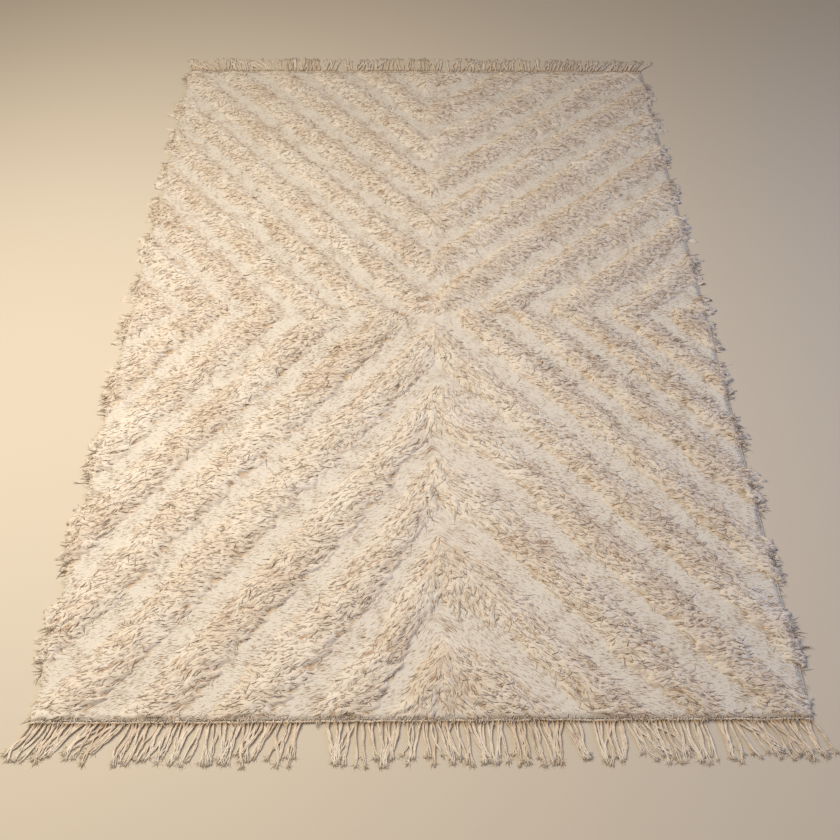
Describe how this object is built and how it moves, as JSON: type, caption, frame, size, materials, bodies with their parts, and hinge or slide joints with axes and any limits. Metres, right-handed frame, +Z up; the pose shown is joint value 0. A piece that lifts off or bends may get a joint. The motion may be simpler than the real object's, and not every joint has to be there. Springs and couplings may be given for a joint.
{
  "type": "shag pile rug with flat-woven channels",
  "caption": "Rectangular cream shag rug with raised pile bands and low flat-woven channels in chevrons, knotted warp fringe at both ends.",
  "frame": {"origin": "middle of the cloth's underside, on the floor, between the selvedges and between the first and last weft", "axes": "+X to the right-hand selvedge, +Y along the length to the far end, +Z up"},
  "size_m": [1.679, 2.4988, 0.03],
  "materials": {
    "pile": "cream cotton shag pile on a flat-woven ground, matt",
    "warp": "undyed cotton warp ends, loosely plied, frayed tips, matt"
  },
  "bodies": {
    "root": {"rug_cloth": "pile", "fringe_near": "warp", "fringe_far": "warp"}
  },
  "joints": []
}
